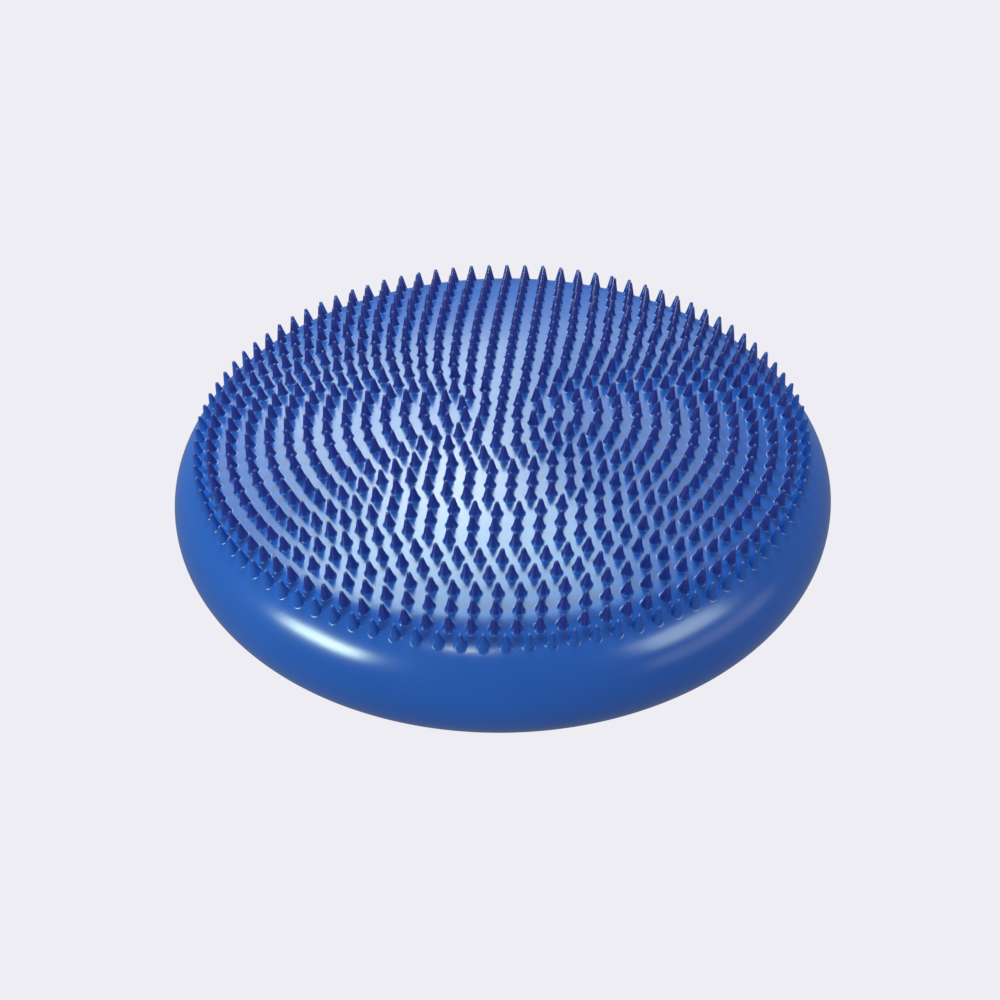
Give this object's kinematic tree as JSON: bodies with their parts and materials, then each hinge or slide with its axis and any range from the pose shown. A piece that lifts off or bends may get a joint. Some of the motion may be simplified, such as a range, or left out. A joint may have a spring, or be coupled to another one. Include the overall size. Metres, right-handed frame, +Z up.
{
  "type": "inflatable balance cushion",
  "caption": "Round inflatable balance cushion with a bulged rim, a domed tread of tapered massage spikes and a push-in air valve.",
  "frame": {"origin": "centre of the flat patch that the cushion rests on", "axes": "+Z up through the middle of the tread; +Y towards the air valve"},
  "size_m": [0.33, 0.3299, 0.0842],
  "materials": {
    "skin": "glossy moulded soft PVC, blue",
    "valve_seat": "soft PVC, a little darker and less glossy than the skin",
    "valve_plug": "satin white moulded plastic"
  },
  "bodies": {
    "sole": {"sole_skin": "skin"},
    "rim": {"rim_skin": "skin", "valve_seat": "valve_seat"},
    "tread": {"tread_skin": "skin"},
    "plug": {"valve_plug": "valve_plug"}
  },
  "joints": [
    {"name": "rock", "type": "hinge", "parent": "sole", "child": "rim", "pos_m": [0, 0, 0.0072], "axis": [0, 1, 0], "range_deg": [-5, 5], "stiffness_Nm_per_rad": 300},
    {"name": "tread_sink", "type": "slide", "parent": "rim", "child": "tread", "axis": [0, 0, -1], "range_m": [0, 0.012], "stiffness_N_per_m": 58000},
    {"name": "plug_pull", "type": "slide", "parent": "rim", "child": "plug", "axis": [0, 1, 0], "range_m": [0, 0.03]}
  ]
}
